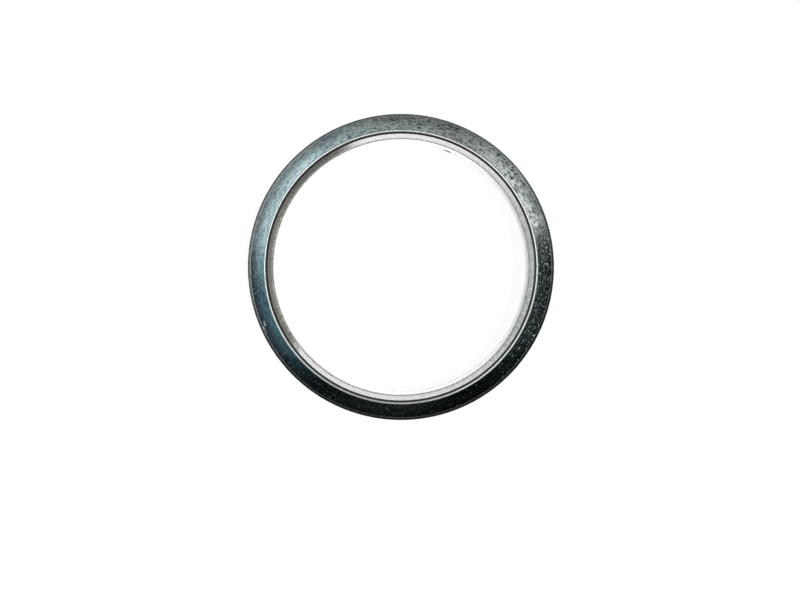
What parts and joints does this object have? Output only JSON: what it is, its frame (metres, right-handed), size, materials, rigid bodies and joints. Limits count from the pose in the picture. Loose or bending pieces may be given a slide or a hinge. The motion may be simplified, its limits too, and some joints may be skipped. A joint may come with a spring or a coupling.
{
  "type": "ring joint gasket",
  "caption": "Flat steel seal ring turned in one piece, with a lapped upper face, chamfered edges and a stepped bore that is wider above a narrow ledge.",
  "frame": {"origin": "centre of the flat base, on the ring's axis", "axes": "+Z along the ring's axis, out of the upper face; +X and +Y across the ring"},
  "size_m": [0.073, 0.073, 0.0105],
  "materials": {
    "ring_steel": "turned bore and outside, upper face ground and polished round the ring, fine scratches"
  },
  "bodies": {
    "root": {"gasket_ring": "ring_steel"}
  },
  "joints": []
}
